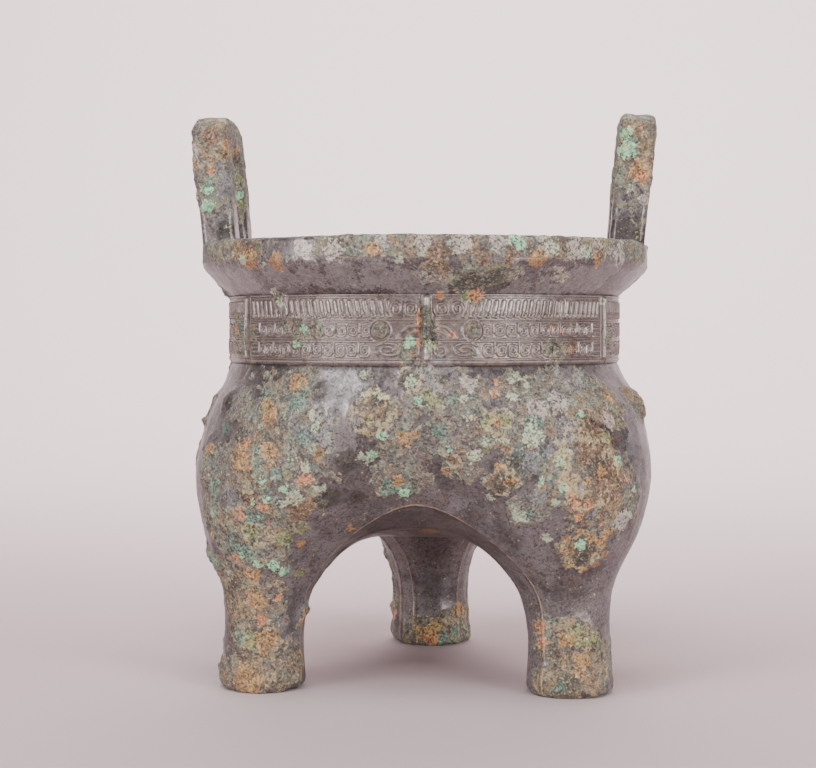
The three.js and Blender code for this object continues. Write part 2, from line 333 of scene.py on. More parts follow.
# In millimetres, across from the nose and up from the shoulder
MASK_SCROLLS = [  # the centre, the width, the height, then the turns, the start and the corners
    (12.6, 3.9, 9, 4.6, 1.7, 0.1, 2.6), (5, 17.4, 5, 4.8, 2.2, 0.5, 4),
    (10, 17.4, 3.6, 4.6, 1.8, 0, 3), (4.6, 3.8, 4.8, 4.4, 1.7, 0.25, 3),
]
MASK_STROKES = [  # the width in lines, and the path
    (2, [(3, 12.2), (6.5, 11.4), (8.6, 9.4), (9.6, 7.9)]),
    (1, [(3, 10.2), (5.4, 9.6), (7, 7.8)]),
    (1, [(18.2, 8.2), (18.8, 12), (16.6, 12.4)]),
]

# The ornament of half a mask, from its nose to the next flange, is drawn once on a fine grid, from
# which each corner of the band reads its height.
drawn = numpy.zeros((round(BAND_HEIGHT / DRAWN_STEP) + 2, round(HALF_MASK / DRAWN_STEP) + 2))


def draw(path, width=LINE):
    """Add strokes along a path, 1 in their middle and 0 at their edges."""
    for start, end in zip(path, path[1:]):
        run = numpy.subtract(end, start)
        low = numpy.maximum((numpy.minimum(start, end) - width) / DRAWN_STEP, 0).astype(int)
        high = ((numpy.maximum(start, end) + width) / DRAWN_STEP).astype(int)
        window = drawn[low[1]:high[1], low[0]:high[0]]
        up, across = (numpy.indices(window.shape).T + low[::-1]).T * DRAWN_STEP
        share = ((across - start[0]) * run[0] + (up - start[1]) * run[1]) / (run @ run)
        share = numpy.clip(share, 0, 1)
        distance = numpy.hypot(across - start[0] - share * run[0], up - start[1] - share * run[1])
        numpy.maximum(window, 1 - smooth_step(distance, 0.3 * width, 0.65 * width), out=window)


def scroll(centre, width, height, turns, first, corners):
    """A spiral from its outer end to its middle; more corners than 2 square it off."""
    path = []
    for step in range(round(STEPS_PER_TURN * abs(turns)) + 1):
        angle = 2 * math.pi * (first + math.copysign(step, turns) / STEPS_PER_TURN)
        across, up = math.cos(angle), math.sin(angle)
        reach = 0.5 * (1 - 0.8 * step / (STEPS_PER_TURN * abs(turns)))
        reach /= (abs(across) ** corners + abs(up) ** corners) ** (1 / corners)
        path.append((centre[0] + width * reach * across, centre[1] + height * reach * up))
    return path


for edge in ROW_EDGES:
    for level in (edge - ROW_LINE_OFFSET, edge + ROW_LINE_OFFSET):
        draw([(0, level), (HALF_MASK, level)], 0.7 * LINE)
low, high = ROW_EDGES[2] + ROW_MARGIN, ROW_EDGES[3] - ROW_MARGIN
place = QUILLS_START
while place < HALF_MASK - QUILLS_MARGIN:
    draw([(place + 0.9 * MM, low + 2.2 * MM), (place + 1.5 * MM, high - 0.6 * MM)], 2.3 * LINE)
    draw([(place + 0.9 * MM, low + 2.2 * MM), (place + 0.1 * MM, low + 0.3 * MM)])
    draw([(place + 0.1 * MM, low + 0.3 * MM), (place + 1.3 * MM, low), (place + 1.6 * MM, low + 0.9 * MM)])
    place += QUILL_PITCH
for row, place in enumerate(COILS_START):
    low, high = ROW_EDGES[row] + ROW_MARGIN, ROW_EDGES[row + 1] - ROW_MARGIN
    turn = -1
    while place < HALF_MASK - COILS_MARGIN:
        first = 0.5 - 0.375 * turn
        draw(scroll((place, (low + high) / 2), COIL_WIDTH, high - low, COIL_TURNS * turn, first, 4))
        if turn < 0:
            stem = place + STEM_OFFSET
            draw([(stem, low + 1.4 * MM), (stem, high + 0.6 * MM)], 1.2 * LINE)
        place += COIL_PITCHES[turn < 0]
        turn = -turn
    for level in numpy.linspace(low, high, 4):
        draw([(HALF_MASK - 7 * MM, level), (HALF_MASK - 2.4 * MM, level)])
for across, up, width, height, turns, first, corners in MASK_SCROLLS:
    draw(scroll((across * MM, up * MM), width * MM, height * MM, turns, first, corners))
for weight, path in MASK_STROKES:
    draw([(across * MM, up * MM) for across, up in path], weight * LINE)


def roll(across, up, centre, radius):
    """A round boss with a sunken ring about it."""
    distance = numpy.hypot(across - centre[0], up - centre[1])
    dome = numpy.sqrt(numpy.clip(1 - (distance / radius) ** 2, 0, 1))
    clear = 1 - smooth_step(distance, radius * 1.25, radius * 1.5)
    ring = numpy.exp(-(((distance - 1.45 * radius) / (0.3 * MM)) ** 2))
    return dome, clear, ring


bands = []
for mask, name in enumerate(("front", "right", "left")):
    nose = BAND_TURN + mask * 2 * math.pi / 3
    steps = round(2 * HALF_MASK / BAND_STEP)
    ends = nose - math.pi / 3, nose + math.pi / 3
    band = turned("neck_band_" + name, band_profile, steps, BAND_STEP, 1, *ends)
    points = read_vectors(band, "co")
    azimuth, radius = around_axis(points)
    across = numpy.abs((azimuth - nose + math.pi) % (2 * math.pi) - math.pi) * BAND_FACE
    up = points[:, 2] - SHOULDER
    column = numpy.clip(numpy.rint(across / DRAWN_STEP).astype(int), 0, drawn.shape[1] - 1)
    line = numpy.clip(numpy.rint(up / DRAWN_STEP).astype(int), 0, drawn.shape[0] - 1)
    dome, clear, ring = roll(across, up, EYE_PLACE, EYE_RADIUS)
    height = LINE_RELIEF * numpy.maximum(drawn[line, column] * (1 - clear), ring) + EYE_RELIEF * dome
    tips = smooth_step(up, 0.2 * MM, 1 * MM) * (1 - smooth_step(up, BAND_HEIGHT - 1 * MM, BAND_HEIGHT))
    for flange in (0, HALF_MASK):
        distance = numpy.abs(across - flange)
        wall = 1 - smooth_step(distance, 0.3 * FLANGE_WIDTH, 0.56 * FLANGE_WIDTH)
        groove = 0.35 * MM * numpy.exp(-((distance / (0.3 * MM)) ** 2))
        height = numpy.where(distance < 0.9 * FLANGE_WIDTH, (FLANGE_PROUD * wall - groove) * tips, height)
    worn = 0.5 + 0.5 * smooth_step(grain(points, 14 * MM, 3, 2), 0.28, 0.55)
    face = radius > BAND_FACE - 0.05 * MM
    outward = numpy.stack([numpy.sin(azimuth), -numpy.cos(azimuth), 0 * azimuth], axis=1)
    lift = numpy.where(face, worn * height - 0.3 * MM, 0)
    move_corners(band, points + outward * lift[:, None])
    save_values(band, "cast", numpy.where(face, 1 + numpy.clip(height / LINE_RELIEF, 0, 1), 0))
    bands.append(band)

# Corrosion
# Centuries in the ground have raised crusts and ringed blisters in green, mint, ochre and rust on the
# grey-brown metal. Front ones lie where the photograph shows them, the rest are scattered.
# Each has a column and a row of the photograph, and a radius in millimetres. Crust, rings and lumps
# rise from the metal, and mint a little; the rest only colour it. Earth turns the crust browner, chalk
# is a pale bloom and slate a blue-grey one. The pale grey kind is painted light: lit patches on the
# neck under the lip, and painted highlights on the belly and shoulder.
FRONT_PATCHES = {
    "crust": [
        (274, 396, 12), (264, 430, 15), (232, 476, 15), (292, 458, 14), (256, 512, 16), (306, 430, 9),
        (240, 552, 14), (274, 560, 8), (208, 470, 10), (212, 520, 10), (224, 572, 10), (240, 400, 7),
        (296, 500, 10), (250, 604, 14), (258, 650, 15), (240, 676, 14), (282, 668, 12), (300, 382, 7),
        (372, 414, 10), (396, 434, 10), (402, 476, 10), (434, 440, 11), (462, 398, 11), (484, 430, 11),
        (456, 462, 8), (520, 392, 9), (512, 424, 10), (430, 396, 9), (418, 376, 6), (500, 482, 7),
        (560, 396, 14), (602, 398, 14), (542, 446, 13), (594, 458, 18), (622, 494, 12), (556, 490, 10),
        (600, 516, 12), (584, 552, 8.5), (526, 512, 8), (412, 382, 5), (636, 400, 8), (384, 488, 6),
        (570, 655, 13), (544, 640, 9), (596, 672, 12), (560, 682, 12), (426, 628, 9), (450, 622, 7),
        (408, 634, 6), (274, 298, 3.6), (466, 280, 8), (494, 276, 7), (440, 274, 6), (557, 280, 5),
        (292, 330, 4), (312, 330, 3.4), (292, 344, 3), (555, 350, 5), (426, 322, 4), (426, 342, 4),
        (378, 330, 3), (472, 327, 3.4), (612, 340, 5), (366, 374, 2.6), (480, 298, 3), (404, 352, 4),
        (284, 326, 3), (302, 334, 3), (558, 352, 6), (476, 352, 2), (470, 270, 5), (512, 276, 5),
    ],
    "earth": [
        (264, 430, 9), (240, 462, 8), (250, 600, 16), (262, 656, 20), (596, 452, 22), (604, 500, 15),
        (576, 664, 16), (428, 628, 12), (256, 258, 16), (440, 254, 12), (590, 256, 16), (216, 140, 12),
        (636, 150, 12), (636, 396, 9), (371, 412, 8), (584, 552, 8), (500, 483, 6), (300, 505, 6),
    ],
    "pale": [
        (362, 373, 1.8), (366, 391, 1.6), (375, 391, 1.6), (384, 394, 1.6), (360, 460, 2), (368, 463, 2),
        (408, 384, 2.2), (281, 505, 1.5), (518, 374, 2), (526, 376, 1.8), (512, 380, 1.6), (530, 384, 1.6),
        (533, 433, 4), (514, 394, 2.6), (546, 539, 2), (488, 499, 2.4), (520, 517, 3), (559, 505, 2.4),
        (570, 452, 1.5), (273, 294, 2.2), (276, 301, 1.6), (312, 426, 2), (308, 414, 2.4), (302, 466, 2.2),
        (470, 420, 2), (486, 444, 2), (474, 458, 2.6), (502, 441, 1.5), (510, 442, 1.5), (606, 300, 2),
        (555, 248, 3), (590, 252, 3), (566, 282, 2), (240, 262, 2), (626, 190, 2), (426, 349, 2.4),
        (636, 490, 1.5), (466, 398, 1.6), (296, 500, 3), (318, 490, 2.4), (262, 268, 1.5), (396, 262, 1.6),
    ],
    "mint": [
        (384, 438, 2.4), (563, 461, 2.4), (563, 491, 2.2), (519, 243, 3), (540, 482, 2.2), (287, 460, 1.8),
        (260, 481, 1.6), (281, 490, 2), (418, 398, 2), (206, 208, 3), (624, 150, 3.4), (622, 134, 2.4),
        (584, 544, 1.8), (449, 452, 1.8), (584, 414, 1.5), (252, 502, 1.6), (264, 498, 1.5), (372, 458, 2),
        (240, 556, 2), (300, 328, 1.6), (292, 344, 1.8), (620, 462, 2.4), (205, 190, 2.4), (404, 496, 2),
        (272, 568, 2.4), (284, 574, 2.4), (256, 566, 1.8), (240, 198, 2), (408, 346, 2.4), (374, 458, 2),
    ],
    "olive": [
        (370, 423, 2), (250, 535, 5), (434, 398, 2.6), (424, 394, 2), (508, 420, 4), (483, 423, 2.2),
        (575, 640, 4), (562, 452, 1.8), (240, 182, 3), (242, 204, 3), (242, 226, 3), (596, 640, 3),
        (286, 476, 2), (550, 508, 2), (262, 404, 3), (468, 300, 2), (604, 436, 3), (432, 626, 4),
        (300, 574, 2.4), (250, 640, 4), (612, 440, 3), (486, 452, 2.4), (288, 540, 4), (302, 530, 3),
    ],
    "ochre": [
        (246, 262, 5), (272, 262, 4), (240, 452, 3.4), (238, 464, 4), (316, 457, 2.6), (297, 380, 4),
        (266, 402, 3), (268, 414, 3), (266, 451, 2.6), (402, 440, 3.4), (412, 436, 2.4), (255, 600, 5),
        (270, 640, 5), (245, 676, 6), (585, 664, 5), (562, 640, 3), (446, 473, 2.4), (400, 483, 2.4),
        (230, 148, 4), (636, 172, 4), (430, 630, 5), (600, 260, 3), (370, 252, 3), (499, 420, 2),
        (508, 484, 2), (495, 466, 1.8), (554, 460, 1.6), (604, 536, 3), (262, 448, 3), (604, 470, 3),
        (610, 396, 2), (256, 580, 4), (210, 448, 3), (302, 546, 2), (540, 256, 4), (590, 482, 2.4),
        (564, 555, 1.8), (568, 542, 1.8), (580, 535, 1.8), (594, 537, 1.8), (604, 545, 1.8), (606, 556, 1.8),
        (598, 566, 1.8), (586, 570, 1.8), (572, 566, 1.8), (431, 535, 3), (350, 532, 2), (462, 610, 3),
    ],
    "orange": [
        (305, 481, 2.4), (236, 513, 3), (263, 509, 2.6), (236, 559, 3), (496, 382, 1.5), (496, 390, 1.6),
        (497, 398, 1.6), (572, 486, 1.6), (573, 496, 1.6), (576, 508, 1.6), (580, 518, 1.6), (538, 628, 3),
        (540, 642, 3), (543, 488, 1.8), (473, 420, 1.8), (612, 398, 1.6), (417, 311, 1.1), (417, 317, 1.2),
        (418, 323, 1.2), (418, 329, 1.2), (418, 335, 1.3), (419, 341, 1.1), (419, 347, 1),
        (555, 331, 1.6), (564, 333, 1.8), (573, 336, 1.8), (441, 300, 1.6), (455, 338, 1.4),
        (480, 297, 2.4), (240, 150, 3), (602, 526, 2), (620, 500, 1.8), (628, 480, 1.8), (262, 620, 3),
        (280, 600, 2), (432, 642, 3),
        (600, 516, 1.5), (592, 504, 1.6), (208, 172, 1.8), (248, 470, 2), (246, 440, 2), (638, 178, 3),
    ],
    "rust": [
        (440, 256, 4), (206, 134, 5), (600, 440, 10), (612, 480, 9), (486, 260, 4), (575, 350, 4),
        (270, 420, 3), (584, 504, 4), (632, 128, 4), (250, 500, 4), (300, 514, 4), (232, 140, 4),
        (268, 464, 3), (510, 426, 2), (450, 462, 3), (600, 254, 4), (512, 256, 3), (618, 440, 4),
    ],
    "dark": [
        (592, 434, 8), (602, 466, 7), (376, 398, 3), (244, 494, 2.4), (470, 282, 6), (555, 350, 4),
        (238, 430, 3.4), (565, 684, 6), (426, 316, 3.4), (426, 328, 3.4), (427, 340, 3), (496, 278, 5),
        (404, 382, 3), (318, 390, 3), (226, 404, 4), (348, 462, 5), (330, 500, 5), (360, 500, 4),
        (499, 484, 4), (586, 556, 4), (608, 452, 5), (520, 468, 4), (472, 326, 1.8), (378, 331, 1.5),
        (274, 298, 1.5), (518, 384, 1.8), (444, 376, 3), (218, 230, 4), (636, 236, 4), (640, 392, 5),
    ],
    "teal": [
        (256, 450, 3), (253, 464, 3), (236, 549, 5), (262, 392, 3), (222, 430, 3), (214, 490, 4),
        (276, 476, 3), (298, 402, 4), (240, 640, 3), (206, 182, 3), (536, 424, 4), (390, 490, 4),
        (404, 490, 3), (440, 432, 4), (523, 517, 4), (579, 415, 1.8), (630, 146, 3), (252, 520, 5),
        (300, 440, 4), (452, 396, 2), (560, 684, 3), (458, 630, 3), (246, 556, 4), (212, 560, 4),
    ],
    # Painted light: a pale grey on the neck under the lip, and painted highlights on the belly and shoulder
    "film": [
        (240, 282, 9), (280, 278, 9), (310, 280, 9), (340, 280, 9), (372, 280, 9), (402, 285, 8),
        (432, 288, 8), (520, 290, 7), (552, 286, 9), (580, 282, 9), (604, 276, 9), (618, 266, 8),
        (336, 420, 8), (340, 446, 7), (350, 395, 6), (572, 378, 7), (444, 372, 7), (230, 374, 7),
    ],
    "chalk": [
        (600, 250, 5), (622, 256, 5), (580, 248, 5), (548, 246, 4), (500, 244, 4), (460, 244, 4),
        (420, 244, 3), (380, 246, 3), (330, 250, 5), (560, 400, 5), (610, 420, 4), (540, 410, 4),
        (575, 430, 4), (470, 380, 4), (625, 520, 4), (300, 250, 4), (640, 200, 3), (566, 310, 4),
    ],
    "slate": [
        (594, 517, 2.6), (229, 497, 4), (548, 450, 5), (564, 430, 5), (556, 444, 4), (302, 432, 6),
        (536, 462, 4), (222, 176, 4), (226, 192, 4), (590, 256, 3), (540, 500, 4), (634, 446, 5),
    ],
    "ring": [
        (373, 414, 8), (521, 384, 3.4), (585, 552, 7.5), (594, 466, 14), (252, 534, 6), (630, 140, 4),
        (508, 420, 6), (404, 384, 4), (262, 470, 5), (246, 500, 4), (500, 483, 6), (446, 462, 4),
    ],
    "lump": [(641, 392, 4), (643, 408, 4.5), (226, 398, 4), (208, 446, 5), (204, 474, 4), (250, 372, 3)],
}
KINDS = tuple(FRONT_PATCHES)
SCATTERED_OUTSIDE = 130
SCATTERED_ON_FEET = 24
SCATTERED_INSIDE = 30
SPOTS_PER_PATCH = 4
BLOBS_PER_CORNER = 0.02
PATCH_SIZES = (4, 13)  # these three are in millimetres, the least and the most
SPOT_SIZES = (1.5, 4.5)
BLOB_SIZES = (0.8, 2.4)
RINGED_BLOBS = 0.35
CRUST_RISE = 0.75 * MM
FEET_TOP = 22 * MM


def in_photo(points):
    """Columns and rows of the photograph that points of the model fall on, and their distance."""
    to_camera = numpy.array(camera.matrix_world.inverted())
    seen = points @ to_camera[:3, :3].T + to_camera[:3, 3]
    distance = -seen[:, 2]
    columns = PHOTO_WIDTH / 2 + FOCAL_PIXELS * seen[:, 0] / distance
    rows = PHOTO_HEIGHT / 2 - FOCAL_PIXELS * seen[:, 1] / distance
    return columns, rows, distance


def area_at_corners(piece):
    return sum(face.area for face in piece.data.polygons) / len(piece.data.vertices)


pieces = [body, rim, *bands, *handles]
all_points = numpy.concatenate([read_vectors(piece, "co") for piece in pieces])
all_normals = numpy.concatenate([read_vectors(piece, "normal") for piece in pieces])
columns, rows, distance = in_photo(all_points)
random = numpy.random.default_rng(12)
patches = []
for kind, spots in FRONT_PATCHES.items():
    for column, row, size in spots:
        apart = numpy.hypot(columns - column, rows - row)
        near = numpy.flatnonzero(apart < max(apart.min() + 0.5, 4))
        index = near[distance[near].argmin()]
        patches.append((kind, all_points[index], all_normals[index], size * MM))
azimuth = around_axis(all_points)[0]
facing = all_normals @ numpy.array([math.sin(EYE_AZIMUTH), -math.cos(EYE_AZIMUTH), 0])
radial = all_normals[:, 0] * numpy.sin(azimuth) - all_normals[:, 1] * numpy.cos(azimuth)
hidden = (facing < 0.05) & (radial > 0.2)
share_of_area = numpy.concatenate([
    numpy.full(len(piece.data.vertices), area_at_corners(piece)) for piece in pieces
])
places = (
    (hidden, SCATTERED_OUTSIDE),
    (hidden & (all_points[:, 2] < FEET_TOP), SCATTERED_ON_FEET),
    (radial < -0.2, SCATTERED_INSIDE),
)
for chosen, count in places:
    weights = numpy.where(chosen, share_of_area, 0)
    for index in random.choice(len(weights), count, replace=False, p=weights / weights.sum()):
        centre = all_points[index]
        size = random.uniform(*PATCH_SIZES) * MM
        patches.append(("crust", centre, all_normals[index], size))
        for kind in random.choice(KINDS[1:], SPOTS_PER_PATCH):
            beside = centre + random.normal(0, 0.45 * size, 3)
            patches.append((kind, beside, all_normals[index], random.uniform(*SPOT_SIZES) * MM))


def corrode(piece, rise, overall):
    """Raise the crust on a piece and keep, for its finish, where each kind of corrosion and the painted
    light lie.
    """
    points = read_vectors(piece, "co")
    outward = read_vectors(piece, "normal")
    uneven = grain(points, 7 * MM, 1, 4) - 0.5
    frayed = grain(points, 2.2 * MM, 6, 3) - 0.5
    covered = {kind: numpy.zeros(len(points)) for kind in KINDS}
    covered["crust"] += overall
    for kind, centre, direction, size in patches:
        near = numpy.flatnonzero((numpy.abs(points - centre) < 1.5 * size).all(axis=1))
        near = near[outward[near] @ direction > 0.1]
        share = numpy.linalg.norm(points[near] - centre, axis=1) / size
        share += 1.1 * uneven[near] + 0.9 * frayed[near]
        if kind == "ring":
            strength = numpy.exp(-(((share - 0.8) / 0.15) ** 2))
        else:
            strength = 1 - smooth_step(share, 0.35, 1.25)
        covered[kind][near] = numpy.maximum(covered[kind][near], strength)
    blobs = numpy.zeros(len(points))
    stain = numpy.zeros(len(points))
    crusted = numpy.flatnonzero(covered["crust"] > 0.5)
    count = round(BLOBS_PER_CORNER * len(crusted))
    for index in random.choice(crusted, count) if count else ():
        size = random.uniform(*BLOB_SIZES) * MM
        near = numpy.flatnonzero((numpy.abs(points - points[index]) < 1.25 * size).all(axis=1))
        share = numpy.linalg.norm(points[near] - points[index], axis=1) / size
        if random.random() < RINGED_BLOBS:
            strength = numpy.exp(-(((share - 0.75) / 0.25) ** 2))
        else:
            strength = numpy.sqrt(numpy.clip(1 - share * share, 0, 1))
        blobs[near] = numpy.maximum(blobs[near], strength * size / (BLOB_SIZES[1] * MM))
        stain[near] = numpy.where(share < 1, random.random(), stain[near])
    rough = grain(points, 2.6 * MM, 2, 2)
    lumpy = grain(points, 9 * MM, 5, 2)
    texture = 0.2 + 0.8 * smooth_step(rough, 0.3, 0.75) + 0.5 * smooth_step(lumpy, 0.3, 0.7)
    height = covered["crust"] * texture
    height += 0.5 * covered["ring"] + 0.45 * blobs + 0.2 * covered["mint"] + 1.8 * covered["lump"]
    dents = 0.10 * (grain(points, 22 * MM, 7, 2) - 0.5) + 0.04 * (grain(points, 5 * MM, 8, 2) - 0.5)
    lift = rise * height + dents * MM
    move_corners(piece, points + outward * lift[:, None])
    for kind in KINDS:
        save_values(piece, kind, covered[kind])
    save_values(piece, "stain", stain)


def lip_crust(points):
    """The lip is crusted nearly all round, but bare by the handles and on a stretch at the front left."""
    azimuth, radius = around_axis(points)
    lip = smooth_step(radius, RIM_RADIUS - 5 * MM, RIM_RADIUS - 1 * MM)
    lip *= smooth_step(points[:, 2], LIP_BOTTOM + 0.6 * MM, LIP_BOTTOM + 2 * MM)
    by_handles = numpy.exp(-(((numpy.abs(azimuth) - 1.57) / 0.22) ** 2))
    stretch = numpy.exp(-(((azimuth + 0.52) / 0.17) ** 2))
    return lip * (0.62 - 0.5 * by_handles - 0.45 * stretch)


corrode(body, CRUST_RISE, 0)
corrode(rim, 0.8 * CRUST_RISE, lip_crust(read_vectors(rim, "co")))
for handle in handles:
    height = read_vectors(handle, "co")[:, 2]
    corrode(handle, 0.9 * CRUST_RISE, 0.22 + 0.4 * smooth_step(height, RIM_TOP, RIM_TOP + 30 * MM))
for band in bands:
    corrode(band, 0.5 * CRUST_RISE, 0)


# Finish
# One old bronze covers every piece. It reads from the mesh where each kind of corrosion lies, and
# where a pale grey is laid on as painted light.
class Wire:
    """A value in a material's nodes; arithmetic on it adds the Math nodes."""

    def __init__(self, finish, socket):
        self.finish = finish
        self.socket = socket

    def math(self, operation, *others):
        return self.finish.node("ShaderNodeMath", {"operation": operation}, [self, *others])

    def __add__(self, other):
        return self.math("ADD", other)

    def __sub__(self, other):
        return self.math("SUBTRACT", other)

    def __mul__(self, other):
        return self.math("MULTIPLY", other)

    def __rsub__(self, other):
        return self.finish.node("ShaderNodeMath", {"operation": "SUBTRACT"}, [other, self])

    __radd__ = __add__
    __rmul__ = __mul__

    def step(self, low, high):
        """0 below low, 1 above high, smooth between."""
        return self.finish.node(
            "ShaderNodeMapRange", {"interpolation_type": "SMOOTHSTEP"}, [self, low, high, 0, 1]
        )


class Finish:
    """A material under construction."""

    def __init__(self, name):
        self.material = bpy.data.materials.new(name)
        self.material.use_nodes = True
        self.tree = self.material.node_tree
        self.shader = self.tree.nodes["Principled BSDF"]
        self.place = self.node("ShaderNodeTexCoord", {}, [], "Object")

    def node(self, kind, settings, inputs, output=0):
        node = self.tree.nodes.new(kind)
        for key, value in settings.items():
            setattr(node, key, value)
        pairs = inputs.items() if isinstance(inputs, dict) else enumerate(inputs)
        for key, value in pairs:
            if isinstance(value, Wire):
                self.tree.links.new(value.socket, node.inputs[key])
            else:
                node.inputs[key].default_value = value
        return Wire(self, node.outputs[output])

    def noise(self, size, detail=4, distortion=0, roughness=0.55, output=0):
        return self.node("ShaderNodeTexNoise", {}, {
            "Vector": self.place, "Scale": 1 / size, "Detail": detail,
            "Roughness": roughness, "Distortion": distortion,
        }, output)

    def mosaic(self, size, fray):
        """A random value for each of many ragged grains of about that size."""
        push = self.noise(0.7 * size, 3, output=1)
        shifted = self.node(
            "ShaderNodeVectorMath", {"operation": "MULTIPLY_ADD"}, [push, [fray * size] * 3, self.place]
        )
        cells = self.node("ShaderNodeTexVoronoi", {}, {"Vector": shifted, "Scale": 1 / size}, 1)
        return self.node("ShaderNodeSeparateColor", {}, [cells])

    def palette(self, value, colours):
        """One of the colours, by a value from 0 to 1."""
        wire = self.node("ShaderNodeValToRGB", {}, [value])
        scale = wire.socket.node.color_ramp
        scale.interpolation = "CONSTANT"
        for index in range(2, len(colours)):
            scale.elements.new(index / len(colours))
        for index, (element, tint) in enumerate(zip(scale.elements, colours)):
            element.position = index / len(colours)
            element.color = colour(*tint)
        return wire

    def attribute(self, name):
        return self.node("ShaderNodeAttribute", {"attribute_name": name}, [], "Fac")

    def mix(self, first, second, factor):
        return self.node(
            "ShaderNodeMix", {"data_type": "RGBA"}, {0: factor, 6: first, 7: second}, 2
        )

    def set(self, name, value):
        if isinstance(value, Wire):
            self.tree.links.new(value.socket, self.shader.inputs[name])
        else:
            self.shader.inputs[name].default_value = value


def colour(red, green, blue):
    """A colour as seen on a screen, 0 to 255, in Blender's linear values."""
    shares = [value / 255 for value in (red, green, blue)]
    return (*[s / 12.92 if s < 0.04045 else ((s + 0.055) / 1.055) ** 2.4 for s in shares], 1)


GREEN_GRAINS = [
    (70, 62, 58), (104, 104, 92), (146, 112, 78), (78, 100, 92), (128, 128, 98), (100, 90, 86),
    (152, 160, 134), (84, 76, 72), (110, 122, 104), (132, 104, 78), (76, 82, 78), (120, 108, 92),
]
BROWN_GRAINS = [
    (66, 56, 50), (96, 82, 68), (126, 102, 72), (84, 74, 66), (146, 118, 82), (104, 96, 86),
    (132, 104, 74), (74, 68, 62), (114, 106, 82), (158, 134, 100), (92, 76, 66), (110, 92, 72),
]
TINTS = {
    # Painted light: a pale grey for lit patches and painted highlights
    "film": ((116, 110, 110), (150, 143, 141), 0.5),
    "chalk": ((128, 118, 112), (200, 186, 176), 0.55),
    "dark": ((38, 36, 33), (72, 68, 60), 0.75),
    "rust": ((74, 54, 44), (128, 92, 66), 0.65),
    "slate": ((80, 80, 86), (112, 112, 118), 0.6),
    "teal": ((56, 84, 78), (104, 138, 120), 0.65),
    "olive": ((84, 90, 58), (142, 144, 92), 0.65),
    "ochre": ((118, 82, 48), (182, 136, 82), 0.68),
    "orange": ((146, 88, 58), (206, 138, 94), 0.7),
    "mint": ((88, 140, 104), (156, 212, 168), 0.78),
    "pale": ((122, 132, 106), (200, 208, 176), 0.62),
}


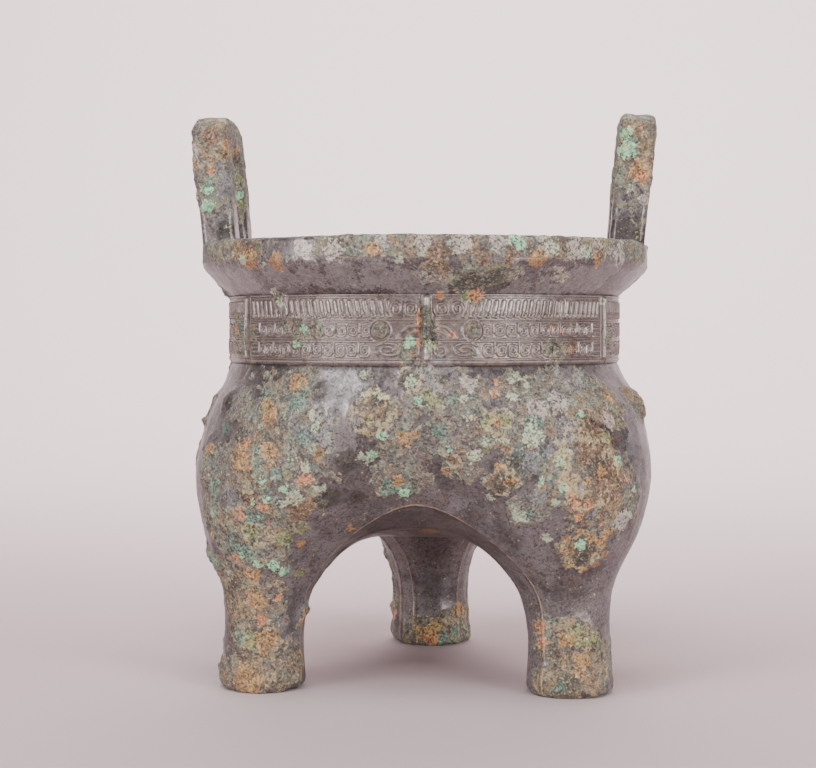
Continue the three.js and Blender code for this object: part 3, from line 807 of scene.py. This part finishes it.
def old_bronze(name):
    finish = Finish(name)
    salt = finish.noise(0.7 * MM, 3, 0, 0.7)
    fine = finish.noise(1.4 * MM, 4, 0.5, 0.65)
    spots = finish.noise(3 * MM, 4, 1, 0.6)
    blotches = finish.noise(6 * MM, 5, 1.4, 0.6)
    fields = finish.noise(14 * MM, 4, 1)
    clouds = finish.noise(26 * MM, 5, 0.6)
    jitter = (blotches - 0.5) * 1.1 + (spots - 0.5) * 1.5 + (fine - 0.5) * 1.3 + (salt - 0.5) * 0.8
    gritty = salt * 0.5 + fine * 0.5

    # Bare metal, a little lighter and pinker on the cast band, with a painted highlight on the band's
    # raised lines and painted shade on its sunk ground
    metal = finish.mix(colour(87, 80, 81), colour(117, 110, 112), clouds.step(0.38, 0.62))
    metal = finish.mix(metal, colour(100, 84, 74), blotches.step(0.46, 0.62) * 0.5)
    metal = finish.mix(metal, colour(56, 51, 51), (fields + jitter * 0.15).step(0.5, 0.66) * 0.6)
    metal = finish.mix(metal, colour(122, 112, 104), spots.step(0.54, 0.66) * 0.35)
    metal = finish.mix(metal, colour(44, 39, 38), (1 - gritty.step(0.4, 0.54)) * 0.35)
    metal = finish.mix(metal, colour(134, 126, 124), gritty.step(0.52, 0.62) * 0.18)
    cast = finish.attribute("cast")
    sunk = cast.step(0.1, 0.9) * (1.9 - cast).step(0.2, 0.9)
    metal = finish.mix(metal, colour(114, 101, 97), cast.step(0.1, 0.9) * 0.6)
    # Painted highlight: the band's raised lines lighter, as if lit
    metal = finish.mix(metal, colour(154, 139, 133), (cast - 1).step(0.5, 0.9) * 0.5)
    # Painted shade: a darker brown in the sunk ground between the band's raised lines
    metal = finish.mix(metal, colour(98, 84, 78), sunk * spots.step(0.35, 0.6) * 0.5)
    metal = finish.mix(metal, colour(160, 142, 124), sunk * blotches.step(0.5, 0.64) * 0.4)
    metal = finish.mix(metal, colour(146, 137, 130), (gritty + spots * 0.4).step(0.8, 0.88) * 0.45)
    metal = finish.mix(metal, colour(48, 43, 42), 0.55 - (gritty + spots * 0.4).step(0.58, 0.68) * 0.55)

    # Crust: ragged grains of many colours, browner where earth clings
    crust = finish.attribute("crust") + jitter * 0.4
    covered = crust.step(0.36, 0.5)
    coarse_grains = finish.mosaic(3.6 * MM, 1.1)
    fine_grains = finish.mosaic(1.5 * MM, 1.1)
    green_soil = finish.mix(
        finish.palette(coarse_grains, GREEN_GRAINS), finish.palette(fine_grains, GREEN_GRAINS), 0.5
    )
    brown_soil = finish.mix(
        finish.palette(coarse_grains, BROWN_GRAINS), finish.palette(fine_grains, BROWN_GRAINS), 0.5
    )
    warmth = finish.attribute("earth") * 0.7 + (fields - 0.5) * 1.6 + jitter * 0.3
    soil = finish.mix(green_soil, brown_soil, warmth.step(0.1, 0.5))
    stain = finish.attribute("stain") + jitter * 0.15
    soil = finish.mix(soil, colour(104, 130, 112), stain.step(0.45, 0.6) * 0.5)
    soil = finish.mix(soil, colour(162, 118, 84), stain.step(0.68, 0.78) * 0.5)
    soil = finish.mix(soil, colour(160, 168, 144), stain.step(0.88, 0.93) * 0.55)
    thin = (blotches * 0.6 + clouds * 0.4 - finish.attribute("earth") * 0.12).step(0.44, 0.54)
    soil = finish.mix(soil, colour(100, 92, 88), thin * 0.62)
    surface = finish.mix(metal, soil, covered * 0.9)
    # Each tint colours where its kind lies; the pale grey one is painted light and painted highlights
    for kind, (darker, lighter, strength) in TINTS.items():
        tint = finish.mix(colour(*darker), colour(*lighter), (gritty + (spots - 0.5) * 0.5).step(0.36, 0.62))
        here = (finish.attribute(kind) + jitter * 0.8 + (gritty - 0.5) * 0.8).step(0.44, 0.6)
        surface = finish.mix(surface, tint, here * strength)
    ring = (finish.attribute("ring") + jitter * 0.5).step(0.45, 0.8)
    surface = finish.mix(surface, colour(184, 164, 122), ring * 0.55)
    pits = 1 - gritty.step(0.4, 0.5)
    surface = finish.mix(surface, colour(40, 35, 32), pits * covered * 0.75)
    grains = gritty.step(0.54, 0.61)
    surface = finish.mix(surface, colour(190, 184, 160), grains * covered * 0.36)
    rind = crust.step(0.3, 0.38) * (1 - crust.step(0.4, 0.5)) * blotches.step(0.44, 0.6)
    surface = finish.mix(surface, colour(172, 158, 128), rind * 0.55)
    # Along each seam, a painted highlight on its ridge and a painted shadow beside it on its inner side
    for kind, strength in (("arch_seam", 0.7), ("floor_seam", 0.4)):
        offset = finish.attribute(kind) - SEAM_BASE + (fine - 0.5) * 0.5
        light = (offset + 0.35).step(0, 0.25) * (0.35 - offset).step(0, 0.25) * blotches.step(0.34, 0.56)
        shade = (offset + 1.5).step(0, 0.4) * (-0.6 - offset).step(0, 0.4)
        surface = finish.mix(surface, colour(54, 48, 46), shade * strength * 0.8)
        surface = finish.mix(surface, colour(184, 158, 132), light * strength)
    finish.set("Base Color", surface)
    finish.set("Roughness", 0.36 + covered * 0.42 + (blotches - 0.5) * 0.4)
    finish.set("Metallic", (1 - covered) * 0.4)
    bump = finish.node("ShaderNodeBump", {}, {
        "Strength": 0.7, "Distance": 0.5 * MM,
        "Height": covered * (fine * 1.1 + salt * 0.7) + spots * 0.16 + gritty * 0.2 + blotches * 0.2,
    })
    finish.set("Normal", bump)
    return finish.material


bronze = old_bronze("old_bronze")
for piece in pieces:
    piece.data.polygons.foreach_set("use_smooth", [True] * len(piece.data.polygons))
    piece.data.materials.clear()
    piece.data.materials.append(bronze)
    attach(piece, "root")
    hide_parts("ding_vessel")

# Floor and light
# A pale sheet of paper sweeps up behind the vessel. Soft lights stand low on either side of the front,
# one hangs over the vessel and a wide one over the paper behind it.
SWEEP_START = 0.75
SWEEP_RADIUS = 0.5
SWEEP_STEPS = 16
bm = bmesh.new()
front = [bm.verts.new((x, -2, 0)) for x in (-3, 3)]
edge = bm.edges.new(front)
outline = [(SWEEP_START, 0)]
for step in range(1, SWEEP_STEPS + 1):
    angle = step / SWEEP_STEPS * math.pi / 2
    outline.append((SWEEP_START + SWEEP_RADIUS * math.sin(angle), SWEEP_RADIUS * (1 - math.cos(angle))))
outline.append((SWEEP_START + SWEEP_RADIUS, 3))
for y, z in outline:
    grown = bmesh.ops.extrude_edge_only(bm, edges=[edge])["geom"]
    edge = next(item for item in grown if isinstance(item, bmesh.types.BMEdge))
    for vertex in edge.verts:
        vertex.co.y = y
        vertex.co.z = z
bmesh.ops.recalc_face_normals(bm, faces=bm.faces)
floor = as_object("paper_sweep", bm)
floor.data.polygons.foreach_set("use_smooth", [True] * len(floor.data.polygons))
paper = Finish("paper")
paper.set("Base Color", colour(186, 168, 170))
paper.set("Roughness", 0.9)
floor.data.materials.append(paper.material)


def soft_light(name, size, power, place, aim):
    data = bpy.data.lights.new(name, "AREA")
    data.energy = power
    data.size = size
    light = bpy.data.objects.new(name, data)
    light.location = place
    light.rotation_euler = (Vector(aim) - Vector(place)).to_track_quat("-Z", "Y").to_euler()
    bpy.context.scene.collection.objects.link(light)


soft_light("key", 0.55, 17, (-0.95, -0.95, 0.32), (0, 0, 0.11))
soft_light("fill", 0.55, 20, (1, -0.9, 0.28), (0, 0, 0.11))
soft_light("top", 0.6, 13, (-0.05, -0.4, 1.1), (0, 0, 0.1))
soft_light("wash", 1.6, 160, (0, 0.6, 1.7), (0, 1.6, 1.35))
world = bpy.data.worlds.new("studio")
world.use_nodes = True
world.node_tree.nodes["Background"].inputs[0].default_value = (1, 0.97, 0.97, 1)
world.node_tree.nodes["Background"].inputs[1].default_value = 0.17
bpy.context.scene.world = world
